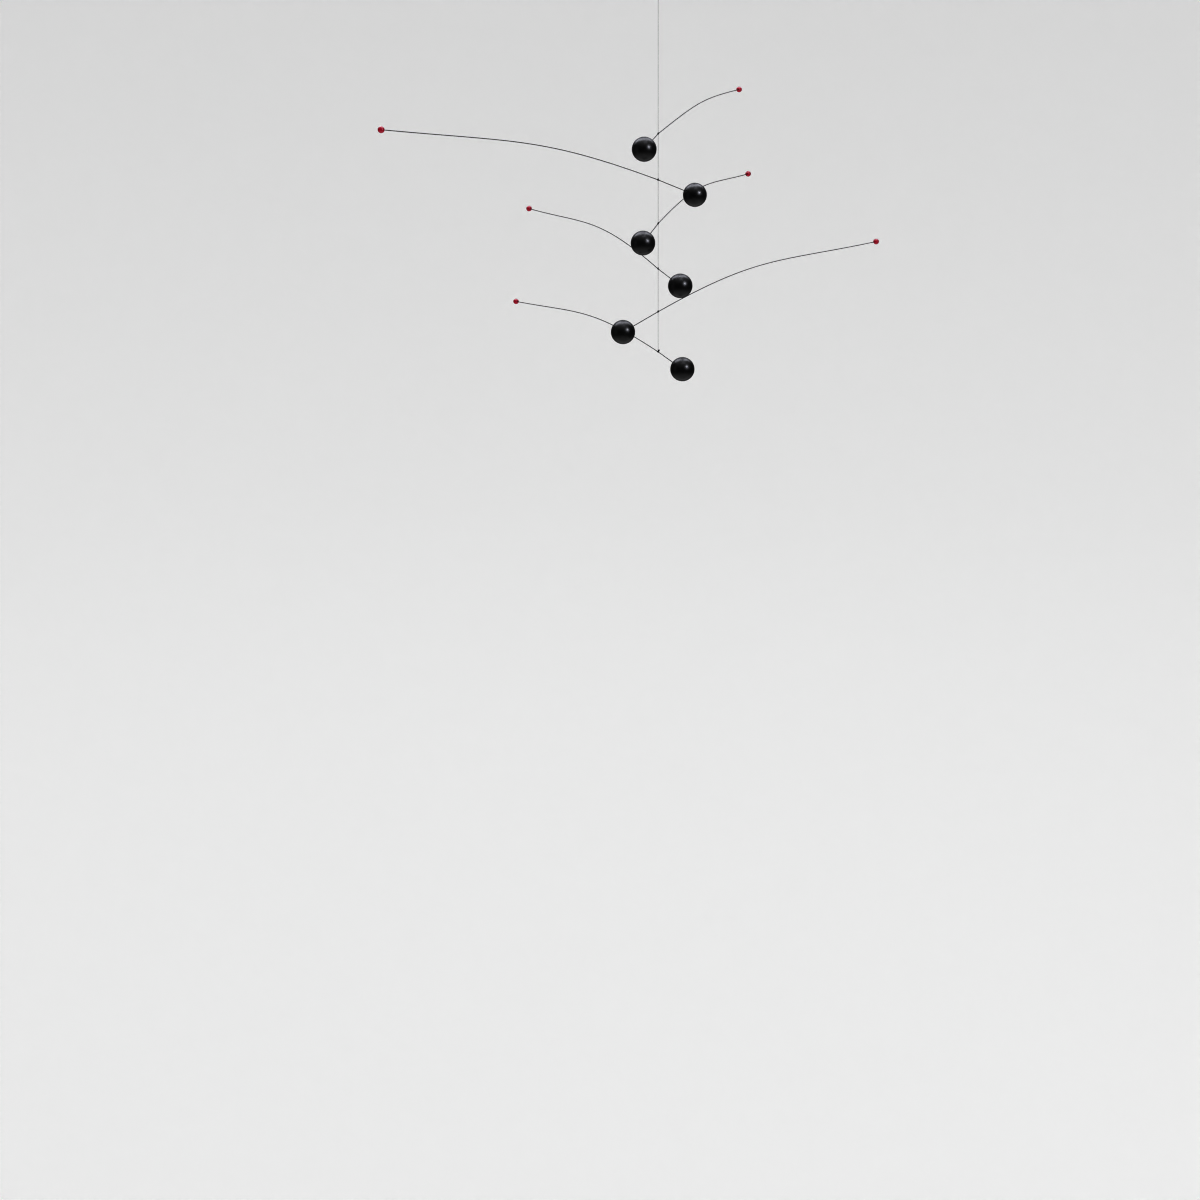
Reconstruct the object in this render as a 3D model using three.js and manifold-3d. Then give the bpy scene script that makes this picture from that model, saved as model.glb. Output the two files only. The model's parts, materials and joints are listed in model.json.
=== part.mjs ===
// Hanging mobile: six balanced wire arms on one thread, each with a black ball and a small red bead.
// Millimetres, +Z up. The origin is the centre of the ceiling plate's top face, on the thread's line.
// Seen from above, a yaw of 0 points along +X and 90 along +Y.
import * as THREE from "three";
import { mergeVertices } from "three/addons/utils/BufferGeometryUtils.js";
import Module from "manifold-3d";

// Ceiling plate, with the wire bail that the thread is tied to
const plateDiameter = 26;
const plateThickness = 3;
const plateEdgeRound = 1.2;
const bailWire = 1.4;
const bailWidth = 6.4;
const bailDrop = 3.6;
const bailCorner = 1.2;

// Thread, and the hitches that tie it to the wires. The last knot is the biggest, and sits
// endKnotAside to a side of the thread's line.
const threadDiameter = 0.45;
const hitchTurns = 5;
const turnGroove = 0.12;
const knotDiameter = 1.5;
const endKnotDiameter = 2.9;
const endKnotAside = 1.2;
const stubLength = 0.6;
const tailLength = 1.2;
const tailAngle = 145;

// Arm wire: one straight stretch to the ball, and one long bow to the bead. The bow is a Bezier
// curve, and both of its handles have the same length.
const wireDiameter = 1.1;
const ballSideLength = 66.8;
const bowReach = 466.5;
const bowRise = 64.5;
const bowSlopeAtBead = 3.7;
const bowHandle = 216;

// Ball and bead, each with a blind socket for the wire's end
const ballDiameter = 35;
const ballSocketDepth = 12;
const beadDiameter = 9;
const beadSocketDepth = 4.8;

// Gap that every fit keeps
const fitGap = 0.25;

// How far the first arm's wire lies below the bail
const topDrop = 208;

// The arms from the top down. below is how far the wire lies below the one above it, yaw is where
// the bead points, and tilt turns the bow's far end upwards. bowSlope is how steeply the bow leaves
// the thread, and ballSlope is how steeply the wire falls to the ball. The angles are in degrees.
const arms = [
  { below: topDrop, yaw: 72, tilt: -0.4, bowSlope: 11.5, ballSlope: 16 },
  { below: 65.5, yaw: 216.5, tilt: 1.7, bowSlope: 17.5, ballSlope: 19 },
  { below: 62.5, yaw: 70, tilt: -1.3, bowSlope: 15.5, ballSlope: 19 },
  { below: 65.5, yaw: 115.5, tilt: 0.2, bowSlope: 18, ballSlope: 15.5 },
  { below: 62.5, yaw: 40, tilt: 1.9, bowSlope: 19.5, ballSlope: 20 },
  { below: 59, yaw: 118.5, tilt: -3.4, bowSlope: 13, ballSlope: 14.5 },
];

// Fineness of the faceted solids
const wireSides = 8;
const ballSideSteps = 2;
const bowSteps = 20;
const bailSteps = 12;
const threadSides = 6;
const threadStep = 20;
const plateSides = 24;
const socketSides = 10;
const ballDetail = 4;
const beadDetail = 2;
const hitchSegments = 8;
const knotSides = 8;
const knotRings = 6;
const edgeSteps = 3;
const weldDistance = 1e-5;

const wasm = await Module();
wasm.setup();

const wireRadius = wireDiameter / 2;
const threadRadius = threadDiameter / 2;
const ballRadius = ballDiameter / 2;
const beadRadius = beadDiameter / 2;
const up = new THREE.Vector3(0, 0, 1);

function toSolid(geometry) {
  const bare = geometry.clone();
  bare.deleteAttribute("normal");
  bare.deleteAttribute("uv");
  const merged = mergeVertices(bare, weldDistance);
  return new wasm.Manifold(new wasm.Mesh({
    numProp: 3,
    vertProperties: new Float32Array(merged.attributes.position.array),
    triVerts: new Uint32Array(merged.index.array),
  }));
}

function toGeometry(solid) {
  const mesh = solid.getMesh();
  const geometry = new THREE.BufferGeometry();
  geometry.setAttribute("position", new THREE.BufferAttribute(mesh.vertProperties, mesh.numProp));
  geometry.setIndex(new THREE.BufferAttribute(mesh.triVerts, 1));
  geometry.computeVertexNormals();
  return geometry;
}

function fuse(geometries) {
  const solids = geometries.map(toSolid);
  return solids.reduce((whole, solid) => whole.add(solid));
}

// A direction in an arm's own plane: outwards along X, rising by an angle in degrees
function rising(degrees, length = 1) {
  const angle = THREE.MathUtils.degToRad(degrees);
  return new THREE.Vector3(Math.cos(angle) * length, 0, Math.sin(angle) * length);
}

// Turns a geometry made along +Z so that it lies along a direction
function along(geometry, direction) {
  return geometry.applyQuaternion(new THREE.Quaternion().setFromUnitVectors(up, direction));
}

// A round tube along a path
function tube(path, radius, steps, sides = wireSides) {
  const section = new THREE.Shape();
  for (let i = 0; i < sides; i += 1) {
    const angle = (2 * Math.PI * i) / sides;
    const x = radius * Math.cos(angle);
    const y = radius * Math.sin(angle);
    if (i === 0) section.moveTo(x, y);
    else section.lineTo(x, y);
  }
  section.closePath();
  return new THREE.ExtrudeGeometry(section, { steps, extrudePath: path, bevelEnabled: false });
}

// The centreline of an arm's wire, from its end in the ball to its end in the bead. It passes
// through its own origin where the thread holds it, and one of the steps falls exactly there.
class ArmLine extends THREE.Curve {
  constructor(arm) {
    super();
    this.ballEnd = rising(arm.ballSlope, -ballSideLength);
    this.beadDirection = rising(bowSlopeAtBead + arm.tilt);
    const tip = new THREE.Vector3(bowReach, 0, bowRise);
    tip.applyAxisAngle(new THREE.Vector3(0, -1, 0), THREE.MathUtils.degToRad(arm.tilt));
    this.beadEnd = tip;
    this.bow = new THREE.CubicBezierCurve3(
      new THREE.Vector3(),
      rising(arm.bowSlope, bowHandle),
      tip.clone().addScaledVector(this.beadDirection, -bowHandle),
      tip,
    );
    this.meanSlope = (arm.ballSlope + arm.bowSlope) / 2;
    this.threadAt = ballSideSteps / (ballSideSteps + bowSteps);
  }

  getPoint(t, target = new THREE.Vector3()) {
    if (t <= this.threadAt) return target.copy(this.ballEnd).multiplyScalar(1 - t / this.threadAt);
    return this.bow.getPoint((t - this.threadAt) / (1 - this.threadAt), target);
  }

  getUtoTmapping(u) {
    return u;
  }
}

// A ball or bead with a blind socket. The wire's end stands in it, pointing along direction.
function socketed(radius, detail, depth, wireEnd, direction) {
  const centre = wireEnd.clone().addScaledVector(direction, radius - depth + fitGap);
  const body = new THREE.IcosahedronGeometry(radius, detail).translate(...centre);
  const boreLength = depth + fitGap;
  const bore = new THREE.CylinderGeometry(
    wireRadius + fitGap,
    wireRadius + fitGap,
    boreLength,
    socketSides,
  );
  bore.rotateX(Math.PI / 2);
  along(bore, direction);
  const boreCentre = centre.addScaledVector(direction, depth - radius - boreLength / 2);
  bore.translate(...boreCentre);
  return toGeometry(toSolid(body).subtract(toSolid(bore)));
}

// How far a hitch's thread reaches from the middle of the wire that it is tied to
function hitchReach(coreRadius) {
  return coreRadius + fitGap + threadDiameter;
}

// Turns of thread side by side round +Z, as one ribbed ring
function winding(coreRadius) {
  const inner = coreRadius + fitGap;
  const outer = hitchReach(coreRadius);
  const half = (hitchTurns * threadDiameter) / 2;
  const profile = [new THREE.Vector2(inner, -half), new THREE.Vector2(outer - turnGroove, -half)];
  for (let i = 0; i < hitchTurns; i += 1) {
    const start = -half + i * threadDiameter;
    profile.push(new THREE.Vector2(outer, start + threadRadius));
    profile.push(new THREE.Vector2(outer - turnGroove, start + threadDiameter));
  }
  profile.push(new THREE.Vector2(inner, half), profile[0].clone());
  return new THREE.LatheGeometry(profile, hitchSegments).rotateX(Math.PI / 2);
}

// Where a knot sits: above or below the turns on the thread's line, or the last one to a side of it
// and down against the wire
function knotPlace(coreRadius, knotSide, knot, aside) {
  const stacked = hitchReach(coreRadius) + knot / 2 - threadRadius;
  const nearest = coreRadius + fitGap + knot / 2;
  const height = aside > 0 ? Math.sqrt(nearest ** 2 - aside ** 2) : stacked;
  return new THREE.Vector3(0, -aside, knotSide * height);
}

// A hitch: thread wound round a wire that runs along direction, with a knot above or below it. The
// thread leaves it by a short stub upwards, downwards or both. The last knot is bigger, sits to a
// side and ends in a loose tail.
function hitch({ coreRadius, direction, knotSide, stubs, knot = knotDiameter, aside = 0 }) {
  const reach = hitchReach(coreRadius);
  const parts = [along(winding(coreRadius), direction)];
  const root = knotPlace(coreRadius, knotSide, knot, aside);
  const knotBody = new THREE.SphereGeometry(knot / 2, knotSides, knotRings).rotateX(Math.PI / 2);
  parts.push(knotBody.translate(...root));
  for (const side of stubs) {
    const start = side * (reach - threadRadius);
    const end = side * hitchExtent(coreRadius, side === knotSide, knot);
    const line = new THREE.LineCurve3(new THREE.Vector3(0, 0, start), new THREE.Vector3(0, 0, end));
    parts.push(tube(line, threadRadius, 1, threadSides));
  }
  if (aside > 0) {
    const tip = rising(tailAngle, knot / 2 + tailLength).add(root);
    parts.push(tube(new THREE.LineCurve3(root, tip), threadRadius, 1, threadSides));
  }
  return toGeometry(fuse(parts));
}

// How far a hitch reaches along the thread, to the end of its stub
function hitchExtent(coreRadius, hasKnot, knot = knotDiameter) {
  const bulk = hasKnot ? knot - threadRadius : 0;
  return hitchReach(coreRadius) + bulk + stubLength;
}

const blackPaint = new THREE.MeshStandardMaterial({ color: 0x0b0b0c, roughness: 0.38, metalness: 0 });
const blackWire = new THREE.MeshStandardMaterial({ color: 0x141416, roughness: 0.45, metalness: 0.3 });
const redPlastic = new THREE.MeshStandardMaterial({ color: 0x9c0418, roughness: 0.12, metalness: 0 });
const blackThread = new THREE.MeshStandardMaterial({ color: 0x1c1c1d, roughness: 0.9, metalness: 0 });
const blackPlate = new THREE.MeshStandardMaterial({ color: 0x121213, roughness: 0.5, metalness: 0.3 });

const mobile = new THREE.Group();

function addPiece(name, geometry, material, parent = mobile) {
  const mesh = new THREE.Mesh(geometry, material);
  mesh.name = name;
  parent.add(mesh);
}

// The plate is a flat disc with a rounded lower edge, and the bail is a square loop of wire under it.
function ceilingPlate() {
  const radius = plateDiameter / 2;
  const profile = [new THREE.Vector2(0, -plateThickness)];
  for (let i = 0; i <= edgeSteps; i += 1) {
    const angle = (Math.PI / 2) * (i / edgeSteps);
    profile.push(new THREE.Vector2(
      radius - plateEdgeRound * (1 - Math.sin(angle)),
      -plateThickness + plateEdgeRound * (1 - Math.cos(angle)),
    ));
  }
  profile.push(new THREE.Vector2(radius, 0), new THREE.Vector2(0, 0));
  const disc = new THREE.LatheGeometry(profile, plateSides).rotateX(Math.PI / 2);
  const half = (bailWidth - bailWire) / 2;
  const top = -plateThickness / 2;
  const path = new THREE.CurvePath();
  const corner = (x, z) => new THREE.Vector3(x, 0, z);
  path.add(new THREE.LineCurve3(corner(-half, top), corner(-half, bailZ + bailCorner)));
  path.add(new THREE.QuadraticBezierCurve3(
    corner(-half, bailZ + bailCorner),
    corner(-half, bailZ),
    corner(-half + bailCorner, bailZ),
  ));
  path.add(new THREE.LineCurve3(corner(-half + bailCorner, bailZ), corner(half - bailCorner, bailZ)));
  path.add(new THREE.QuadraticBezierCurve3(
    corner(half - bailCorner, bailZ),
    corner(half, bailZ),
    corner(half, bailZ + bailCorner),
  ));
  path.add(new THREE.LineCurve3(corner(half, bailZ + bailCorner), corner(half, top)));
  return toGeometry(fuse([disc, tube(path, bailWire / 2, bailSteps)]));
}

// The bail's straight bar lies at this height, and the thread hangs from it.
const bailZ = -plateThickness - bailDrop + bailWire / 2;
addPiece("ceiling_plate", ceilingPlate(), blackPlate);
const topHitch = hitch({
  coreRadius: bailWire / 2,
  direction: new THREE.Vector3(1, 0, 0),
  knotSide: -1,
  stubs: [-1],
});
addPiece("top_hitch", topHitch.translate(0, 0, bailZ), blackThread);

let wireZ = bailZ;
let threadTop = bailZ - hitchExtent(bailWire / 2, true) - fitGap;

arms.forEach((arm, index) => {
  const number = index + 1;
  const last = number === arms.length;
  const line = new ArmLine(arm);
  const knot = last ? endKnotDiameter : knotDiameter;
  wireZ -= arm.below;

  // The stretch of thread above the arm
  const threadEnd = wireZ + hitchExtent(wireRadius, true, knot) + fitGap;
  const stretch = new THREE.LineCurve3(
    new THREE.Vector3(0, 0, threadTop),
    new THREE.Vector3(0, 0, threadEnd),
  );
  const steps = Math.ceil((threadTop - threadEnd) / threadStep);
  addPiece(`thread_${number}`, tube(stretch, threadRadius, steps, threadSides), blackThread);
  threadTop = wireZ - hitchExtent(wireRadius, false) - fitGap;

  const group = new THREE.Group();
  group.position.set(0, 0, wireZ);
  group.rotation.z = THREE.MathUtils.degToRad(arm.yaw);
  mobile.add(group);
  const wire = tube(line, wireRadius, ballSideSteps + bowSteps);
  addPiece(`arm_${number}_wire`, wire, blackWire, group);
  const toBall = line.ballEnd.clone().normalize();
  const ball = socketed(ballRadius, ballDetail, ballSocketDepth, line.ballEnd, toBall);
  addPiece(`arm_${number}_ball`, ball, blackPaint, group);
  const bead = socketed(beadRadius, beadDetail, beadSocketDepth, line.beadEnd, line.beadDirection);
  addPiece(`arm_${number}_bead`, bead, redPlastic, group);
  const tie = hitch({
    coreRadius: wireRadius,
    direction: rising(line.meanSlope),
    knotSide: 1,
    stubs: last ? [1] : [1, -1],
    knot,
    aside: last ? endKnotAside : 0,
  });
  addPiece(`arm_${number}_hitch`, tie, blackThread, group);
});

export default mobile;
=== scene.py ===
"""Hanging mobile: six balanced wire arms on one thread, each with a black ball and a red bead.

Metres, in the CAD's frame: the origin is the centre of the ceiling plate's top face and +Z is up.
"""

import json
import math

import bpy
import numpy as np
from mathutils import Matrix, Vector


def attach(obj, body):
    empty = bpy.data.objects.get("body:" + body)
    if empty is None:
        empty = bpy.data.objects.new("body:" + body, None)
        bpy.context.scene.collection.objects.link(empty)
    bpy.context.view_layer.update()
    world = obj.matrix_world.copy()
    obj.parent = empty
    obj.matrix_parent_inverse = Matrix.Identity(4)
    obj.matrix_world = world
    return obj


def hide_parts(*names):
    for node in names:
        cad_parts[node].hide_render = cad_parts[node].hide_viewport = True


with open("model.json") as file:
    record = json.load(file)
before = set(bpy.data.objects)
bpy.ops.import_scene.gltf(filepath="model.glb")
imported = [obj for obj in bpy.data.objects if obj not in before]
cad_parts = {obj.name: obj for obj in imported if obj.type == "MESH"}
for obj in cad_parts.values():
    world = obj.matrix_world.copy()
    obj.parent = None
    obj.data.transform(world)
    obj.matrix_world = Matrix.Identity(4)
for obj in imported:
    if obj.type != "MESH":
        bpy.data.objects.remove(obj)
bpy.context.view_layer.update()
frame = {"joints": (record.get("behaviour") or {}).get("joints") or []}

MM = 0.001

# Sizes of the pieces, as in the CAD
PLATE_DIAMETER = 26 * MM
PLATE_THICKNESS = 3 * MM
PLATE_EDGE_ROUND = 1.2 * MM
PLATE_CHAMFER = 0.2 * MM
BAIL_WIRE = 1.4 * MM
BAIL_WIDTH = 6.4 * MM
BAIL_DROP = 3.6 * MM
BAIL_CORNER = 1.2 * MM
THREAD_DIAMETER = 0.45 * MM
HITCH_TURNS = 5
STUB_LENGTH = 0.6 * MM
TAIL_LENGTH = 1.2 * MM
TAIL_ANGLE = 145
WIRE_DIAMETER = 1.1 * MM
BALL_SIDE_LENGTH = 66.8 * MM
BOW_REACH = 466.5 * MM
BOW_RISE = 64.5 * MM
BOW_SLOPE_AT_BEAD = 3.7
BOW_HANDLE = 216 * MM
FIT_GAP = 0.25 * MM

# Balls and beads, each with a blind socket for the wire's end
BALL = {"diameter": 35 * MM, "socket": 12 * MM, "chamfer": 0.15 * MM, "rings": 56, "segments": 96}
BEAD = {"diameter": 9 * MM, "socket": 4.8 * MM, "chamfer": 0.12 * MM, "rings": 32, "segments": 56}

# Knots: how far across, how far beside the thread, and how their loops are turned in degrees
KNOT = {"diameter": 1.5 * MM, "aside": 0, "loop_turns": (0, 90)}
END_KNOT = {"diameter": 2.9 * MM, "aside": 1.2 * MM, "loop_turns": (0, 60, 120)}

# The arms from the top down: where the bead points, how far the bow's far end is turned up, and how
# steeply the wire leaves the thread for the bead and falls to the ball, all in degrees
ARMS = [
    {"yaw": 72, "tilt": -0.4, "bow_slope": 11.5, "ball_slope": 16},
    {"yaw": 216.5, "tilt": 1.7, "bow_slope": 17.5, "ball_slope": 19},
    {"yaw": 70, "tilt": -1.3, "bow_slope": 15.5, "ball_slope": 19},
    {"yaw": 115.5, "tilt": 0.2, "bow_slope": 18, "ball_slope": 15.5},
    {"yaw": 40, "tilt": 1.9, "bow_slope": 19.5, "ball_slope": 20},
    {"yaw": 118.5, "tilt": -3.4, "bow_slope": 13, "ball_slope": 14.5},
]

ARM_HEIGHTS = [joint["pos_m"][2] for joint in sorted(frame["joints"], key=lambda joint: joint["name"])]
WIRE_RADIUS = WIRE_DIAMETER / 2
THREAD_RADIUS = THREAD_DIAMETER / 2
BAIL_RADIUS = BAIL_WIRE / 2
BAIL_Z = -PLATE_THICKNESS - BAIL_DROP + BAIL_RADIUS

# The turns of a hitch and the sockets lie closer round the wire than in the CAD. A socket is shaped
# to some chamfers' depth, as the wire hides the rest.
TURN_GAP = FIT_GAP * 0.4
SOCKET_GAP = FIT_GAP * 0.3
SOCKET_CHAMFERS = 6
BAIL_ROOT = PLATE_THICKNESS * 0.6

# A knot's loops are trefoils of slightly thinner thread, here 6 units across and twice this thick
LOOP_HALF_THICKNESS = 1.6
LOOP_THREAD_RADIUS = THREAD_RADIUS * 0.95
KNOT_CORE_INSET = THREAD_RADIUS * 1.4

# The thread's strands, wound round its line. They overlap a little, as soft strands press flat.
STRANDS = 3
STRAND_TURN = 1.5 * MM
STRAND_OVERLAP = 1.12

# How finely round and long shapes are stepped
ROUND_STEPS = 8
PLATE_SEGMENTS = 96
BAIL_SIDES = 16
BAIL_LEG_STEPS = 5
WIRE_SIDES = 12
BALL_SIDE_STEPS = 12
BOW_STEPS = 110
STRAND_SIDES = 6
STEPS_PER_STRAND_TURN = 10
HITCH_SIDES = 10
STEPS_PER_HITCH_TURN = 22
LOOP_STEPS = 72
KNOT_CORE_SEGMENTS = 20
KNOT_CORE_STEP = 15
STUB_STEPS = 12
TAIL_STEPS = 16
ROOM_SEGMENTS = 128
WALL_BEND_STEPS = 24

# The photograph's camera, level with the top arm and turned down. Its distance is in the plane of
# the thread, and LENS_PIXELS is its focal length in pixels of the 1200-pixel frame.
FRAME_PIXELS = 1200
LENS_PIXELS = 2200
SENSOR_WIDTH = 36
CAMERA_DISTANCE = 3.246
CAMERA_SIDE = -0.088
CAMERA_ABOVE_TOP_ARM = 0.0642
CAMERA_PITCH = 13.09
CAMERA_ROLL = -0.344

# The photograph's contrast and sharpness
VIEW_GAMMA = 0.6
PIXEL_FILTER = 1.25

# The studio: a round floor that bends up into a wall
FLOOR_Z = -1.57
FLOOR_RADIUS = 4.0
WALL_BEND = 3.0
WALL_TOP = 4.5
PAPER_GLOW = 0.195

# The world's brightness by the upward part of the direction, from straight down to straight up
WORLD_BRIGHTNESS = [(-0.92, 1.3), (-0.25, 0.1), (0.3, 0.1), (0.85, 0.95)]

# The lights, with sizes as width and height, and how bright each looks. The ones that don't light
# the paper are seen in the gloss alone, and are a little cooler than the room.
LIGHT_AIM = (0, 0, -0.35)
GLOSS_COLOUR = (0.9, 0.91, 1.0)
KEY_PLACE = (1.8, -1.8, 0.72)
KEY_SIZE = (0.4, 0.4)
TOP_LEFT = (-0.87, 1.0, 1.7)
TOP_RIGHT = (0.71, 1.0, 1.7)
LEFT_SIDE = (-2.6, -0.6, -0.3)
LIGHTS = [
    {"name": "key_softbox", "place": KEY_PLACE, "size": KEY_SIZE, "radiance": 8, "paper": True},
    {"name": "key_glint", "place": KEY_PLACE, "size": KEY_SIZE, "radiance": 100, "paper": False},
    {"name": "key_halo", "place": (1.8, -1.8, 0.5), "size": (0.9, 1.0), "radiance": 6, "paper": False},
    {"name": "top_softbox", "place": (0, 0.2, 3.6), "size": (3.0, 3.0), "radiance": 0.25, "paper": True},
    {"name": "top_card_left", "place": TOP_LEFT, "size": (1.46, 2.6), "radiance": 5.7, "paper": False},
    {"name": "top_card_right", "place": TOP_RIGHT, "size": (1.14, 2.6), "radiance": 5.7, "paper": False},
    {"name": "front_card", "place": (0.3, -0.8, 1.7), "size": (1.1, 0.65), "radiance": 3.2, "paper": False},
    {"name": "side_card_left", "place": LEFT_SIDE, "size": (1.6, 2.0), "radiance": 0.4, "paper": False},
]

# The lacquer grows rougher towards a ball's outline. FACING is 0 for face on and 1 for edge on.
EDGE_START_FACING = 0.47
EDGE_FULL_FACING = 0.7
EDGE_ROUGHNESS = 0.25


def rising(degrees, length=1.0):
    """A direction in an arm's own plane: outwards along X, rising by an angle."""
    angle = math.radians(degrees)
    return Vector((math.cos(angle) * length, 0, math.sin(angle) * length))


def mesh_piece(name, points, faces, material):
    mesh = bpy.data.meshes.new(name)
    mesh.from_pydata([tuple(p) for p in points], [], faces)
    mesh.validate()
    mesh.update()
    for polygon in mesh.polygons:
        polygon.use_smooth = True
    mesh.materials.append(material)
    piece = bpy.data.objects.new(name, mesh)
    bpy.context.scene.collection.objects.link(piece)
    return piece


def stand_in(piece, body, node):
    """Puts a piece in place of a CAD node, on its body."""
    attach(piece, body)
    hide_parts(node)


def carried_sides(path, reference):
    """A path's directions, and one side of it carried along without turning round the path."""
    tangents = np.gradient(path, axis=0)
    tangents /= np.linalg.norm(tangents, axis=1)[:, None]
    side = np.cross(tangents[0], reference)
    sides = []
    for tangent in tangents:
        side = side - tangent * side.dot(tangent)
        side /= np.linalg.norm(side)
        sides.append(side)
    return tangents, np.array(sides)


def tube_mesh(path, radius, sides):
    """Points and faces of a round tube along a list of points, with closed ends."""
    path = np.array(path, float)
    start = path[1] - path[0]
    upright = np.hypot(start[0], start[1]) < 0.1 * np.linalg.norm(start)
    tangents, across = carried_sides(path, [0.0, 1.0, 0.0] if upright else [0.0, 0.0, 1.0])
    other = np.cross(tangents, across)
    angles = np.linspace(0, 2 * math.pi, sides, endpoint=False)
    points = []
    for centre, first, second in zip(path, across, other):
        ring = np.outer(np.cos(angles), first) + np.outer(np.sin(angles), second)
        points.extend(centre + radius * ring)
    faces = []
    for i in range(len(path) - 1):
        for j in range(sides):
            k = (j + 1) % sides
            faces.append((i * sides + j, i * sides + k, (i + 1) * sides + k, (i + 1) * sides + j))
    faces.append(tuple(reversed(range(sides))))
    faces.append(tuple(range((len(path) - 1) * sides, len(path) * sides)))
    return points, faces


def joined(meshes):
    """Several lists of points and faces as one."""
    points, faces = [], []
    for some_points, some_faces in meshes:
        start = len(points)
        points.extend(some_points)
        faces.extend(tuple(i + start for i in face) for face in some_faces)
    return points, faces


def lathe_mesh(profile, segments):
    """A profile of (radius, height) turned round Z. A radius of 0 is one point on the axis."""
    points, rings = [], []
    for radius, height in profile:
        if radius == 0:
            rings.append([len(points)] * segments)
            points.append((0, 0, height))
            continue
        rings.append(list(range(len(points), len(points) + segments)))
        for j in range(segments):
            angle = 2 * math.pi * j / segments
            points.append((radius * math.cos(angle), radius * math.sin(angle), height))
    faces = []
    for lower, upper in zip(rings, rings[1:]):
        for j in range(segments):
            k = (j + 1) % segments
            face = []
            for corner in (lower[j], lower[k], upper[k], upper[j]):
                if corner not in face:
                    face.append(corner)
            faces.append(tuple(face))
    return points, faces


def principled(name, base, roughness):
    material = bpy.data.materials.new(name)
    material.use_nodes = True
    shader = material.node_tree.nodes["Principled BSDF"]
    shader.inputs["Base Color"].default_value = (*base, 1)
    shader.inputs["Roughness"].default_value = roughness
    return material, material.node_tree, shader


def noise(tree, scale, detail, stretch=(1, 1, 1)):
    """A noise on the piece's own coordinates, in metres, and stretched along its axes."""
    place = tree.nodes.new("ShaderNodeTexCoord")
    mapping = tree.nodes.new("ShaderNodeMapping")
    mapping.inputs["Scale"].default_value = stretch
    texture = tree.nodes.new("ShaderNodeTexNoise")
    texture.inputs["Scale"].default_value = scale
    texture.inputs["Detail"].default_value = detail
    tree.links.new(place.outputs["Object"], mapping.inputs["Vector"])
    tree.links.new(mapping.outputs["Vector"], texture.inputs["Vector"])
    return texture.outputs["Fac"]


def ranged(tree, source, low, high):
    """A value from 0 to 1 as one from low to high."""
    node = tree.nodes.new("ShaderNodeMapRange")
    node.inputs["To Min"].default_value = low
    node.inputs["To Max"].default_value = high
    tree.links.new(source, node.inputs["Value"])
    return node.outputs["Result"]


def with_matt_edge(tree, roughness):
    """A roughness that grows where the surface turns away, or a light behind leaves a white rim."""
    view = tree.nodes.new("ShaderNodeLayerWeight")
    edge = tree.nodes.new("ShaderNodeMapRange")
    edge.interpolation_type = "SMOOTHSTEP"
    edge.inputs["From Min"].default_value = EDGE_START_FACING
    edge.inputs["From Max"].default_value = EDGE_FULL_FACING
    edge.inputs["To Max"].default_value = EDGE_ROUGHNESS
    total = tree.nodes.new("ShaderNodeMath")
    tree.links.new(view.outputs["Facing"], edge.inputs["Value"])
    tree.links.new(edge.outputs["Result"], total.inputs[0])
    tree.links.new(roughness, total.inputs[1])
    return total.outputs["Value"]


def tinted(tree, source, shader, dark, light):
    """Base colour from dark to light by a value."""
    ramp = tree.nodes.new("ShaderNodeValToRGB")
    ramp.color_ramp.elements[0].color = (*dark, 1)
    ramp.color_ramp.elements[1].color = (*light, 1)
    ramp.color_ramp.elements[0].position = 0.3
    ramp.color_ramp.elements[1].position = 0.7
    tree.links.new(source, ramp.inputs["Fac"])
    tree.links.new(ramp.outputs["Color"], shader.inputs["Base Color"])


def bumped(tree, source, shader, height):
    bump = tree.nodes.new("ShaderNodeBump")
    bump.inputs["Distance"].default_value = height
    tree.links.new(source, bump.inputs["Height"])
    tree.links.new(bump.outputs["Normal"], shader.inputs["Normal"])


def lacquer_material():
    """Satin black lacquer on turned wood: the grain shows faintly through it."""
    material, tree, shader = principled("black_lacquer", base=(0.006, 0.006, 0.0065), roughness=0.3)
    grain = noise(tree, scale=260, detail=5, stretch=(1, 1, 0.12))
    film = noise(tree, scale=90, detail=2)
    tinted(tree, grain, shader, dark=(0.0045, 0.0045, 0.005), light=(0.008, 0.008, 0.0085))
    rough = with_matt_edge(tree, ranged(tree, film, low=0.27, high=0.39))
    tree.links.new(rough, shader.inputs["Roughness"])
    bumped(tree, grain, shader, height=0.03 * MM)
    return material


def wire_material():
    """Black paint on drawn steel wire."""
    material, tree, shader = principled("black_wire", base=(0.006, 0.006, 0.0065), roughness=0.5)
    shader.inputs["Specular IOR Level"].default_value = 0.3
    film = noise(tree, scale=900, detail=4)
    tinted(tree, film, shader, dark=(0.004, 0.004, 0.0045), light=(0.010, 0.010, 0.0105))
    tree.links.new(ranged(tree, film, low=0.42, high=0.58), shader.inputs["Roughness"])
    bumped(tree, film, shader, height=0.01 * MM)
    return material


def bead_material():
    """Deep red plastic under a clear red gloss coat, which darkens it towards its rim."""
    material, tree, shader = principled("red_plastic", base=(0.94, 0.014, 0.11), roughness=0.24)
    shader.inputs["Coat Weight"].default_value = 1.0
    shader.inputs["Coat Roughness"].default_value = 0.16
    shader.inputs["Coat Tint"].default_value = (0.55, 0.36, 0.42, 1)
    cloud = noise(tree, scale=420, detail=3)
    tinted(tree, cloud, shader, dark=(0.88, 0.012, 0.1), light=(1.0, 0.017, 0.125))
    bumped(tree, cloud, shader, height=0.008 * MM)
    return material


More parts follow.
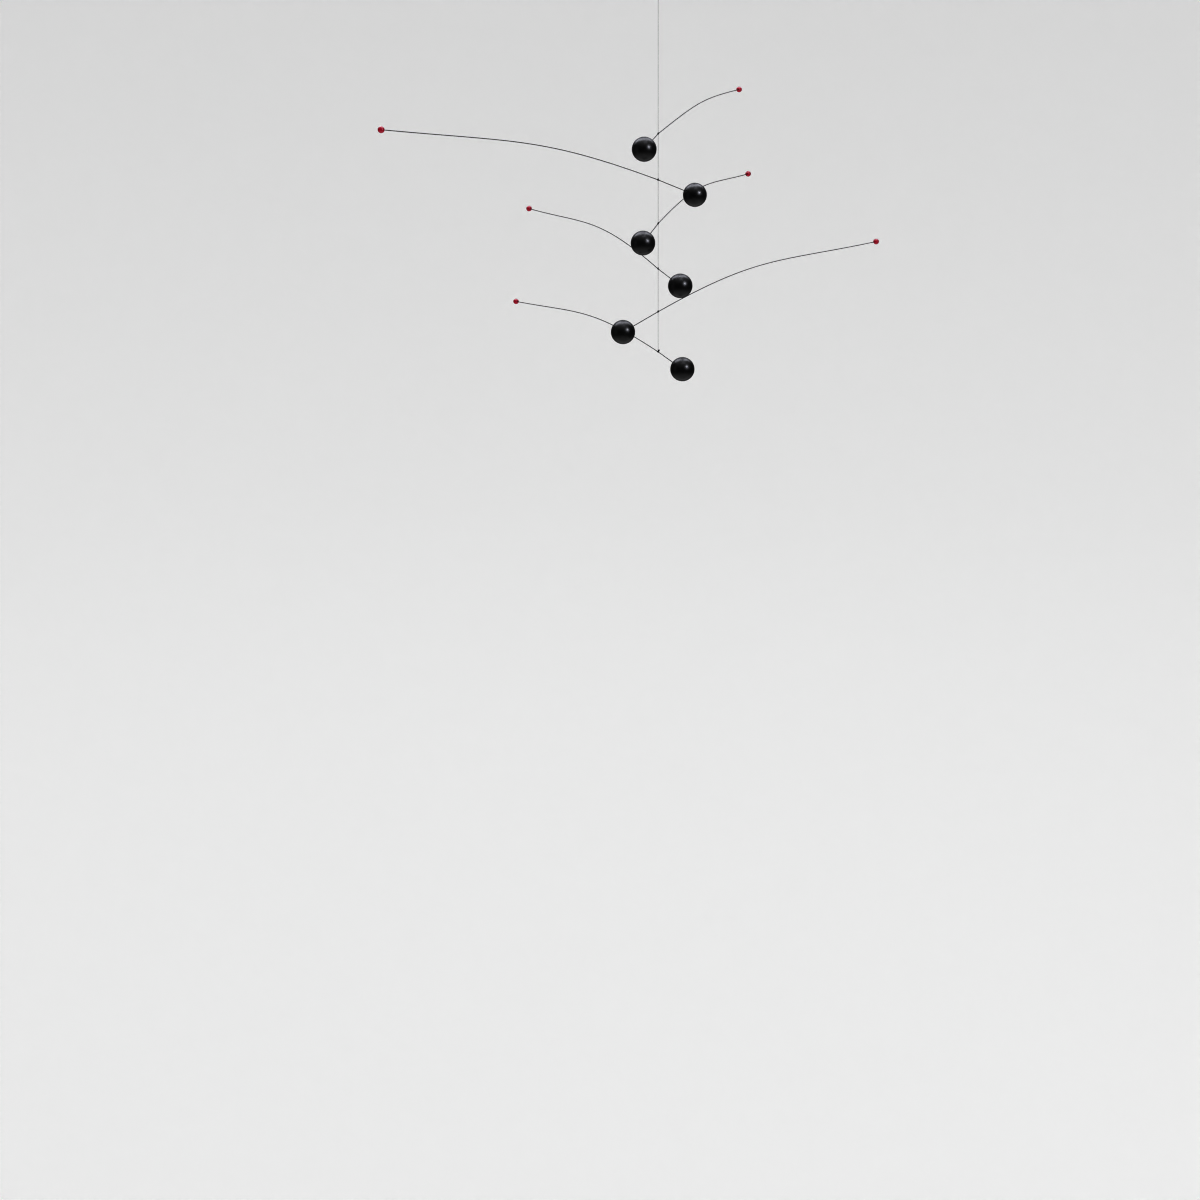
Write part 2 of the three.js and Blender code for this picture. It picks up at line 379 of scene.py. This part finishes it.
def thread_material():
    """Black twisted thread with a few paler fibres."""
    material, tree, shader = principled("black_thread", base=(0.008, 0.008, 0.0085), roughness=0.85)
    shader.inputs["Specular IOR Level"].default_value = 0.2
    shader.inputs["Sheen Weight"].default_value = 0.08
    fibres = noise(tree, scale=5200, detail=3)
    tinted(tree, fibres, shader, dark=(0.005, 0.005, 0.0055), light=(0.016, 0.016, 0.0165))
    bumped(tree, fibres, shader, height=0.02 * MM)
    return material


def plate_material():
    """Satin black paint with a fine orange peel."""
    material, tree, shader = principled("black_plate", base=(0.013, 0.013, 0.014), roughness=0.4)
    peel = noise(tree, scale=1400, detail=2)
    tinted(tree, peel, shader, dark=(0.010, 0.010, 0.011), light=(0.017, 0.017, 0.018))
    tree.links.new(ranged(tree, peel, low=0.34, high=0.46), shader.inputs["Roughness"])
    bumped(tree, peel, shader, height=0.01 * MM)
    return material


def studio_material():
    """Pale paper, lit from behind as well, so that it has no shadows or corners."""
    material, _, shader = principled("studio_paper", base=(0.8, 0.8, 0.8), roughness=1.0)
    shader.inputs["Specular IOR Level"].default_value = 0.0
    shader.inputs["Emission Color"].default_value = (1, 1, 1, 1)
    shader.inputs["Emission Strength"].default_value = PAPER_GLOW
    return material


def add_camera():
    data = bpy.data.cameras.new("camera")
    data.sensor_fit = "HORIZONTAL"
    data.sensor_width = SENSOR_WIDTH
    data.lens = SENSOR_WIDTH * LENS_PIXELS / FRAME_PIXELS
    camera = bpy.data.objects.new("camera", data)
    bpy.context.scene.collection.objects.link(camera)
    place = Vector((CAMERA_SIDE, -CAMERA_DISTANCE, ARM_HEIGHTS[0] + CAMERA_ABOVE_TOP_ARM))
    turn = Matrix.Rotation(math.radians(90 - CAMERA_PITCH), 4, "X")
    roll = Matrix.Rotation(math.radians(CAMERA_ROLL), 4, "Z")
    camera.matrix_world = Matrix.Translation(place) @ turn @ roll
    bpy.context.scene.camera = camera


def hitch_reach(core_radius):
    """How far the turns of a hitch reach from the middle of the wire that they hold."""
    return core_radius + FIT_GAP + THREAD_DIAMETER


def hitch_extent(core_radius, knot=None):
    """How far a hitch reaches along the thread, to the end of its stub."""
    bulk = knot["diameter"] - THREAD_RADIUS if knot else 0
    return hitch_reach(core_radius) + bulk + STUB_LENGTH


def twisted(path):
    """Twisted strands along a list of close points, as points and faces."""
    path = np.array(path, float)
    aslant = [0.3, 1.0, 0.1]  # along no stretch of the thread
    tangents, sides = carried_sides(path, aslant)
    others = np.cross(tangents, sides)
    along = np.concatenate([[0], np.cumsum(np.linalg.norm(np.diff(path, axis=0), axis=1))])
    strand_radius = THREAD_RADIUS / (1 + 2 / math.sqrt(3)) * STRAND_OVERLAP
    lay_radius = THREAD_RADIUS - strand_radius
    meshes = []
    for strand in range(STRANDS):
        angle = 2 * math.pi * (along / STRAND_TURN + strand / STRANDS)
        line = path + lay_radius * (np.cos(angle)[:, None] * sides + np.sin(angle)[:, None] * others)
        meshes.append(tube_mesh(line, strand_radius, STRAND_SIDES))
    return joined(meshes)


def thread_path(top, bottom):
    steps = max(2, round((top - bottom) / STRAND_TURN * STEPS_PER_STRAND_TURN))
    return [(0, 0, top + (bottom - top) * i / steps) for i in range(steps + 1)]


def add_threads(material):
    """The thread's six stretches, each from the stub of one hitch to the stub of the next. The top
    one leaves the photograph, and is the free cord."""
    stretches = []
    top = BAIL_Z - hitch_extent(BAIL_RADIUS, KNOT)
    for i, height in enumerate(ARM_HEIGHTS):
        knot = END_KNOT if i == len(ARM_HEIGHTS) - 1 else KNOT
        path = thread_path(top, height + hitch_extent(WIRE_RADIUS, knot))
        piece = mesh_piece(f"thread_{i + 1}_twist", *twisted(path), material)
        stand_in(piece, "ceiling" if i == 0 else f"arm_{i}", f"thread_{i + 1}")
        stretches.append((piece, path))
        top = height - hitch_extent(WIRE_RADIUS)
    return stretches[0]


def bored_ball_profile(radius, chamfer, rings):
    """A ball round the origin with a chamfered socket mouth at its -Z end."""
    hole_radius = WIRE_RADIUS + SOCKET_GAP
    start = math.asin((hole_radius + chamfer) / radius)
    mouth = -radius * math.cos(start)
    profile = [
        (0, mouth + chamfer * SOCKET_CHAMFERS),
        (hole_radius, mouth + chamfer * SOCKET_CHAMFERS),
        (hole_radius, mouth + chamfer),
    ]
    for i in range(rings):
        angle = start + (math.pi - start) * i / rings
        profile.append((radius * math.sin(angle), -radius * math.cos(angle)))
    profile.append((0, radius))
    return profile


def add_bored_ball(name, ball, place, wire_end, direction, material):
    """A ball or bead on a wire's end, with the end's place and direction in the arm's own frame."""
    radius = ball["diameter"] / 2
    centre = wire_end + direction * (radius - ball["socket"] + FIT_GAP)
    profile = bored_ball_profile(radius, ball["chamfer"], ball["rings"])
    piece = mesh_piece(name, *lathe_mesh(profile, ball["segments"]), material)
    turn = (place.to_3x3() @ direction).to_track_quat("Z", "X").to_matrix().to_4x4()
    piece.matrix_world = Matrix.Translation(place @ centre) @ turn
    return piece


def arm_wire_path(arm):
    """The centreline of an arm's wire in the arm's own frame, from the ball's end to the bead's."""
    ball_end = rising(arm["ball_slope"], -BALL_SIDE_LENGTH)
    bead_direction = rising(BOW_SLOPE_AT_BEAD + arm["tilt"])
    turn = math.radians(arm["tilt"])
    tip = Vector((
        BOW_REACH * math.cos(turn) - BOW_RISE * math.sin(turn),
        0,
        BOW_REACH * math.sin(turn) + BOW_RISE * math.cos(turn),
    ))
    first = rising(arm["bow_slope"], BOW_HANDLE)
    second = tip - bead_direction * BOW_HANDLE
    path = [ball_end * (1 - i / BALL_SIDE_STEPS) for i in range(BALL_SIDE_STEPS)]
    for i in range(BOW_STEPS + 1):
        t = i / BOW_STEPS
        u = 1 - t
        path.append(first * (3 * u * u * t) + second * (3 * u * t * t) + tip * t**3)
    return path, ball_end, tip, bead_direction


def winding_path(core_radius, direction):
    """A hitch's turns round a wire that runs along direction, starting and ending on top."""
    radius = core_radius + TURN_GAP + THREAD_RADIUS
    across = Vector((0, 1, 0))
    upward = direction.cross(across)
    path = []
    steps = STEPS_PER_HITCH_TURN * HITCH_TURNS
    for i in range(steps + 1):
        t = i / steps
        angle = 2 * math.pi * HITCH_TURNS * t
        shift = (t - 0.5) * HITCH_TURNS * THREAD_DIAMETER
        around = upward * math.cos(angle) + across * math.sin(angle)
        path.append(around * radius + direction * shift)
    return path


def knot_loop(centre, size, turn):
    """One loop of an overhand knot, about size across and turned round the thread's line."""
    scale = (size / 2 - THREAD_RADIUS) / 3
    spin = Matrix.Rotation(math.radians(turn), 3, "Z")
    path = []
    for i in range(LOOP_STEPS + 1):
        t = 2 * math.pi * i / LOOP_STEPS
        flat = 2 + math.cos(3 * t)
        thick = LOOP_HALF_THICKNESS * math.sin(3 * t)
        loop = Vector((flat * math.cos(2 * t), thick, flat * math.sin(2 * t)))
        path.append(centre + spin @ (scale * loop))
    return path


def knot_meshes(centre, knot):
    """A tight knot: crossed loops of thread over a core of the thread inside."""
    core_radius = knot["diameter"] / 2 - KNOT_CORE_INSET
    arc = np.radians(range(-90 + KNOT_CORE_STEP, 90, KNOT_CORE_STEP))
    profile = [(0, -core_radius)]
    profile += [(core_radius * math.cos(angle), core_radius * math.sin(angle)) for angle in arc]
    profile += [(0, core_radius)]
    points, faces = lathe_mesh(profile, KNOT_CORE_SEGMENTS)
    meshes = [([centre + Vector(point) for point in points], faces)]
    for turn in knot["loop_turns"]:
        loop = knot_loop(centre, knot["diameter"], turn)
        meshes.append(tube_mesh(loop, LOOP_THREAD_RADIUS, HITCH_SIDES))
    return meshes


def knot_place(core_radius, knot_side, knot):
    """Above or below the turns on the thread's line, or to a side and down against the wire."""
    height = hitch_reach(core_radius) + knot["diameter"] / 2 - THREAD_RADIUS
    if knot["aside"] > 0:
        nearest = core_radius + FIT_GAP + knot["diameter"] / 2
        height = math.sqrt(nearest**2 - knot["aside"]**2)
    return Vector((0, -knot["aside"], knot_side * height))


def twisted_between(start, end, steps):
    return twisted([start.lerp(end, i / steps) for i in range(steps + 1)])


def hitch_meshes(core_radius, direction, knot_side, stub_sides, knot):
    """Turns round a wire, a knot, and the stubs that the thread's stretches meet. A side is 1 for
    above the wire and -1 for below it."""
    knot_centre = knot_place(core_radius, knot_side, knot)
    meshes = [tube_mesh(winding_path(core_radius, direction), THREAD_RADIUS, HITCH_SIDES)]
    meshes += knot_meshes(knot_centre, knot)
    for side in stub_sides:
        start = Vector((0, 0, side * (hitch_reach(core_radius) - THREAD_RADIUS)))
        end = Vector((0, 0, side * hitch_extent(core_radius, knot if side == knot_side else None)))
        meshes.append(twisted_between(start, end, STUB_STEPS))
    return meshes, knot_centre


def add_arm(number, arm, height, materials):
    body = f"arm_{number}"
    last = number == len(ARMS)
    place = Matrix.Translation((0, 0, height)) @ Matrix.Rotation(math.radians(arm["yaw"]), 4, "Z")
    path, ball_end, bead_end, bead_direction = arm_wire_path(arm)

    wire = mesh_piece(f"{body}_bent_wire", *tube_mesh(path, WIRE_RADIUS, WIRE_SIDES), materials["wire"])
    wire.matrix_world = place
    stand_in(wire, body, f"{body}_wire")

    to_ball = ball_end.normalized()
    ball = add_bored_ball(f"{body}_turned_ball", BALL, place, ball_end, to_ball, materials["ball"])
    stand_in(ball, body, f"{body}_ball")
    bead = add_bored_ball(f"{body}_gloss_bead", BEAD, place, bead_end, bead_direction, materials["bead"])
    stand_in(bead, body, f"{body}_bead")

    wire_direction = rising((arm["ball_slope"] + arm["bow_slope"]) / 2)
    knot = END_KNOT if last else KNOT
    stub_sides = (1,) if last else (1, -1)
    meshes, knot_centre = hitch_meshes(WIRE_RADIUS, wire_direction, 1, stub_sides, knot)
    if last:
        tip = knot_centre + rising(TAIL_ANGLE, knot["diameter"] / 2 + TAIL_LENGTH)
        meshes.append(twisted_between(knot_centre, tip, TAIL_STEPS))
    hitch = mesh_piece(f"{body}_wound_hitch", *joined(meshes), materials["thread"])
    hitch.matrix_world = place
    stand_in(hitch, body, f"{body}_hitch")


def plate_profile():
    """Half of the plate's section, with its lower edge round and its upper edge chamfered."""
    radius = PLATE_DIAMETER / 2
    profile = [(0, -PLATE_THICKNESS)]
    for i in range(ROUND_STEPS + 1):
        angle = math.pi / 2 * i / ROUND_STEPS
        profile.append((
            radius - PLATE_EDGE_ROUND * (1 - math.sin(angle)),
            -PLATE_THICKNESS + PLATE_EDGE_ROUND * (1 - math.cos(angle)),
        ))
    return profile + [(radius, -PLATE_CHAMFER), (radius - PLATE_CHAMFER, 0), (0, 0)]


def bail_path():
    """A square loop of wire with round corners, down out of the plate and back up into it."""
    half = (BAIL_WIDTH - BAIL_WIRE) / 2
    leg = np.linspace(-BAIL_ROOT, BAIL_Z + BAIL_CORNER, BAIL_LEG_STEPS + 1)
    path = [(-half, 0, z) for z in leg[:-1]]
    for i in range(ROUND_STEPS + 1):
        angle = math.pi / 2 * i / ROUND_STEPS
        x = -half + BAIL_CORNER * (1 - math.cos(angle))
        path.append((x, 0, BAIL_Z + BAIL_CORNER * (1 - math.sin(angle))))
    return path + [(-x, 0, z) for x, _, z in reversed(path)]


def add_plate(materials):
    disc = lathe_mesh(plate_profile(), PLATE_SEGMENTS)
    bail = tube_mesh(bail_path(), BAIL_RADIUS, BAIL_SIDES)
    plate = mesh_piece("ceiling_plate_and_bail", *joined([disc, bail]), materials["plate"])
    stand_in(plate, "ceiling", "ceiling_plate")
    meshes, _ = hitch_meshes(BAIL_RADIUS, Vector((1, 0, 0)), -1, (-1,), KNOT)
    hitch = mesh_piece("top_wound_hitch", *joined(meshes), materials["thread"])
    hitch.matrix_world = Matrix.Translation((0, 0, BAIL_Z))
    stand_in(hitch, "ceiling", "top_hitch")
    return plate, hitch


def add_world():
    """Dark sides, a bright floor and a soft bright ceiling, as the balls mirror them."""
    world = bpy.data.worlds.new("studio")
    world.use_nodes = True
    tree = world.node_tree
    place = tree.nodes.new("ShaderNodeTexCoord")
    split = tree.nodes.new("ShaderNodeSeparateXYZ")
    height = tree.nodes.new("ShaderNodeMapRange")
    height.inputs["From Min"].default_value = -1
    ramp = tree.nodes.new("ShaderNodeValToRGB")
    ramp.color_ramp.interpolation = "EASE"
    while len(ramp.color_ramp.elements) < len(WORLD_BRIGHTNESS):
        ramp.color_ramp.elements.new(0.5)
    for element, (z, brightness) in zip(ramp.color_ramp.elements, WORLD_BRIGHTNESS):
        element.position = (z + 1) / 2
        element.color = (brightness, brightness, brightness, 1)
    tree.links.new(place.outputs["Generated"], split.inputs["Vector"])
    tree.links.new(split.outputs["Z"], height.inputs["Value"])
    tree.links.new(height.outputs["Result"], ramp.inputs["Fac"])
    tree.links.new(ramp.outputs["Color"], tree.nodes["Background"].inputs["Color"])
    bpy.context.scene.world = world


def add_room():
    """The floor and wall, which the gloss doesn't show, as it has cards of its own to show."""
    profile = [(0, FLOOR_Z), (FLOOR_RADIUS, FLOOR_Z)]
    for i in range(1, WALL_BEND_STEPS + 1):
        angle = math.pi / 2 * i / WALL_BEND_STEPS
        profile.append((
            FLOOR_RADIUS + WALL_BEND * math.sin(angle),
            FLOOR_Z + WALL_BEND * (1 - math.cos(angle)),
        ))
    profile.append((FLOOR_RADIUS + WALL_BEND, WALL_TOP))
    room = mesh_piece("studio_floor", *lathe_mesh(profile, ROOM_SEGMENTS), studio_material())
    room.visible_glossy = False


def add_light(light):
    width, height = light["size"]
    data = bpy.data.lights.new(light["name"], "AREA")
    data.shape = "RECTANGLE"
    data.size = width
    data.size_y = height
    data.energy = light["radiance"] * math.pi * width * height
    lamp = bpy.data.objects.new(light["name"], data)
    bpy.context.scene.collection.objects.link(lamp)
    lamp.location = light["place"]
    aim = Vector(LIGHT_AIM) - Vector(light["place"])
    lamp.rotation_mode = "QUATERNION"
    lamp.rotation_quaternion = aim.to_track_quat("-Z", "Y")
    lamp.visible_camera = False
    lamp.visible_diffuse = light["paper"]
    if not light["paper"]:
        data.color = GLOSS_COLOUR


add_camera()
bpy.context.scene.view_settings.view_transform = "Standard"
bpy.context.scene.view_settings.gamma = VIEW_GAMMA
bpy.context.scene.cycles.filter_width = PIXEL_FILTER
materials = {
    "ball": lacquer_material(),
    "wire": wire_material(),
    "bead": bead_material(),
    "thread": thread_material(),
    "plate": plate_material(),
}
top_thread, top_path = add_threads(materials["thread"])
plate, top_hitch = add_plate(materials)
for index, (arm, height) in enumerate(zip(ARMS, ARM_HEIGHTS)):
    add_arm(index + 1, arm, height, materials)
add_room()
add_world()
for light in LIGHTS:
    add_light(light)
